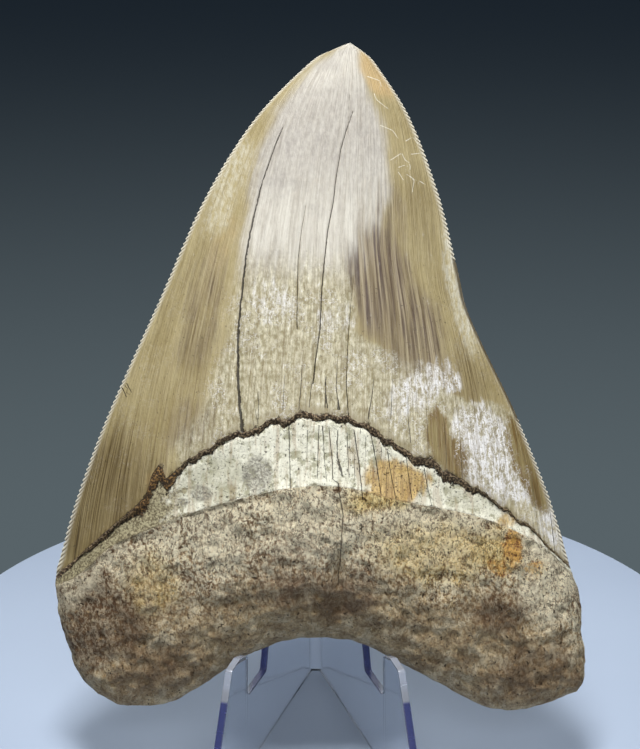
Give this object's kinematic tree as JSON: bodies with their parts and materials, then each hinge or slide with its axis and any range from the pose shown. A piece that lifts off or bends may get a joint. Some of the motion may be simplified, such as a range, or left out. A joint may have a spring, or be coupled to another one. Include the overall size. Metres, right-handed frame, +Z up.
{
  "type": "megalodon tooth on stand",
  "caption": "Fossil megalodon tooth with serrated cutting edges, ragged enamel margin and lobed porous root, leaning upright in a clear bent-plastic easel that is a V seen from above.",
  "frame": {"origin": "centre of the footprint of the whole part, on the surface that the stand rests on", "axes": "+Z up, +Y away from the viewer towards the stand's spine, +X to the viewer's right across the tooth"},
  "size_m": [0.116, 0.0726, 0.1521],
  "materials": {
    "fossil": "satin enamel crown, porous matt root",
    "clear_plastic": "clear, polished"
  },
  "bodies": {
    "root": {"tooth": "fossil", "stand": "clear_plastic"}
  },
  "joints": []
}
